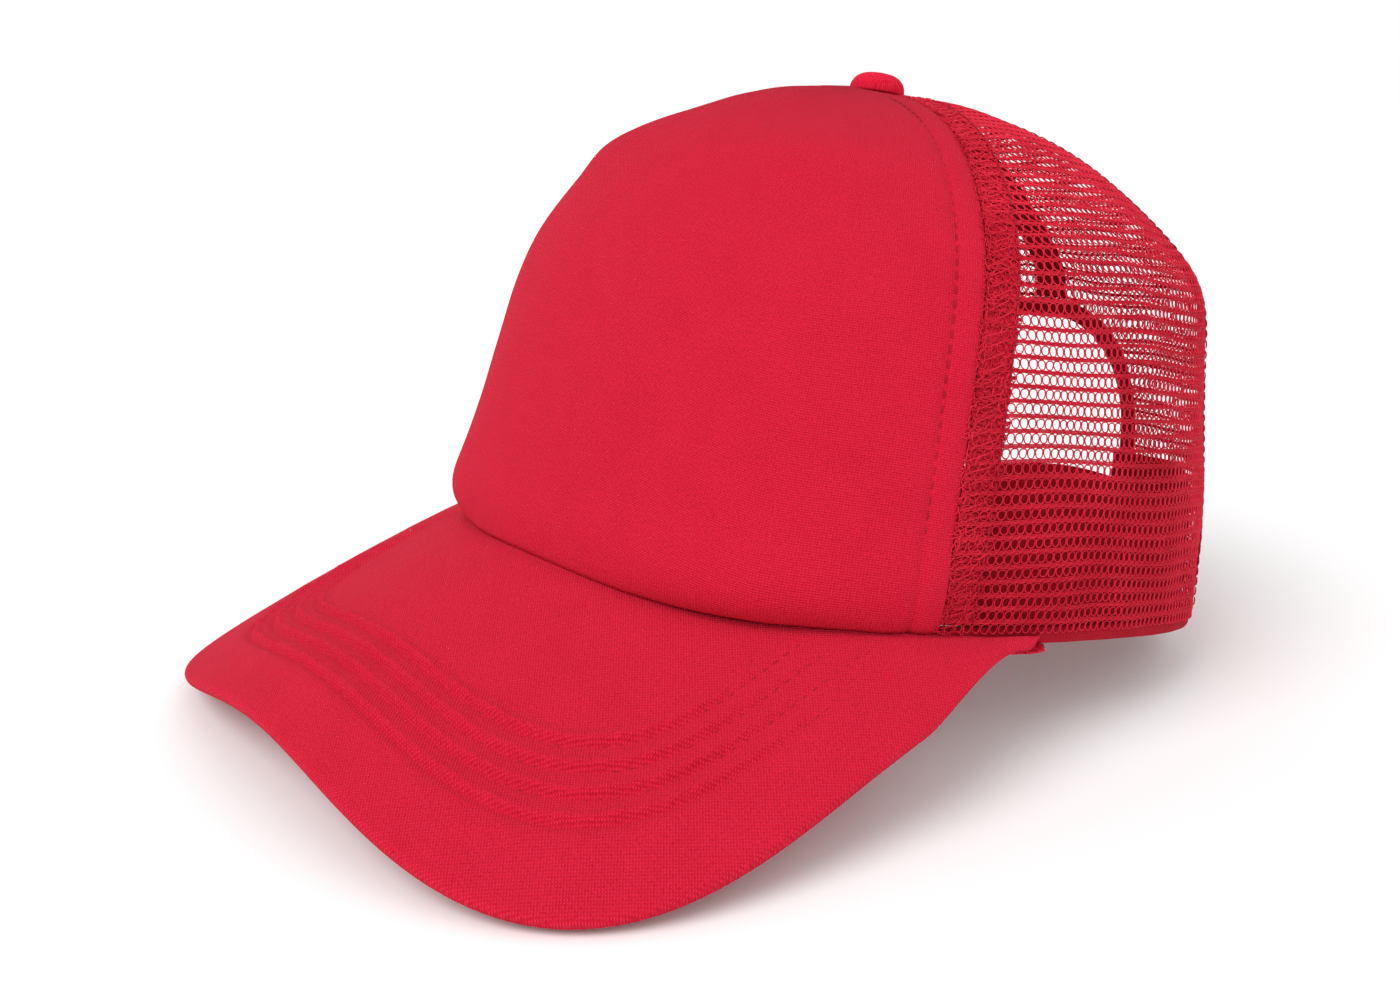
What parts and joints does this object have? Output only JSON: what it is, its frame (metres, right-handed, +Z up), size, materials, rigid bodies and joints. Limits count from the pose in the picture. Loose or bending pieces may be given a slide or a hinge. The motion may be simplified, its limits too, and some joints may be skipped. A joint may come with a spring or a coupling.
{
  "type": "trucker cap",
  "caption": "Trucker cap with a smooth foam-backed front panel, mesh sides and back, a curved stitched visor, a crown button and a rear snap closure.",
  "frame": {"origin": "in the plane that the cap stands on, under the middle of the head opening", "axes": "+Z up through the crown, -Y towards the visor's front, +X towards the wearer's left"},
  "size_m": [0.1944, 0.2553, 0.1463],
  "materials": {
    "panel_fabric": "matte",
    "foam": "matte",
    "mesh": "matte",
    "seam_tape": "matte",
    "sweatband_fabric": "matte",
    "thread": "matte",
    "visor_fabric": "matte",
    "visor_board": "matte",
    "button_fabric": "matte",
    "button_metal": "satin",
    "snap_plastic": "satin"
  },
  "bodies": {
    "crown": {"front_panel_fabric": "panel_fabric", "front_panel_foam": "foam", "side_mesh_left": "mesh", "side_mesh_right": "mesh", "rear_mesh_left": "mesh", "rear_mesh_right": "mesh", "front_seam_tape_left": "seam_tape", "front_seam_tape_right": "seam_tape", "side_seam_tape_left": "seam_tape", "side_seam_tape_right": "seam_tape", "rear_seam_tape": "seam_tape", "rear_arch_binding": "seam_tape", "sweatband": "sweatband_fabric", "rim_tape": "seam_tape", "topstitch_front_left": "thread", "topstitch_front_right": "thread", "topstitch_mesh_left": "thread", "topstitch_mesh_right": "thread", "visor_top_cover": "visor_fabric", "visor_board": "visor_board", "visor_bottom_cover": "visor_fabric", "visor_stitch_row_1": "thread", "visor_stitch_row_2": "thread", "visor_stitch_row_3": "thread", "visor_stitch_row_4": "thread", "button_cover": "button_fabric", "button_shell": "button_metal", "button_rivet": "button_metal", "button_washer": "button_metal", "hole_strap_tab": "snap_plastic", "peg_strap_tab": "snap_plastic"},
    "hole_strap": {"hole_strap": "snap_plastic"},
    "peg_strap": {"peg_strap": "snap_plastic", "snap_peg_1": "snap_plastic", "snap_peg_2": "snap_plastic", "snap_peg_3": "snap_plastic", "snap_peg_4": "snap_plastic", "snap_peg_5": "snap_plastic", "snap_peg_6": "snap_plastic"}
  },
  "joints": [
    {"name": "hole_strap_hinge", "type": "hinge", "parent": "crown", "child": "hole_strap", "pos_m": [0.03234, 0.08737, 0.01355], "axis": [-0.015, -0.035, 0.9993], "range_deg": [-70, 0], "stiffness_Nm_per_rad": 0.01},
    {"name": "peg_strap_hinge", "type": "hinge", "parent": "crown", "child": "peg_strap", "pos_m": [-0.03215, 0.08663, 0.01352], "axis": [0.0147, -0.0351, 0.9993], "range_deg": [-40, 0], "stiffness_Nm_per_rad": 0.01}
  ]
}
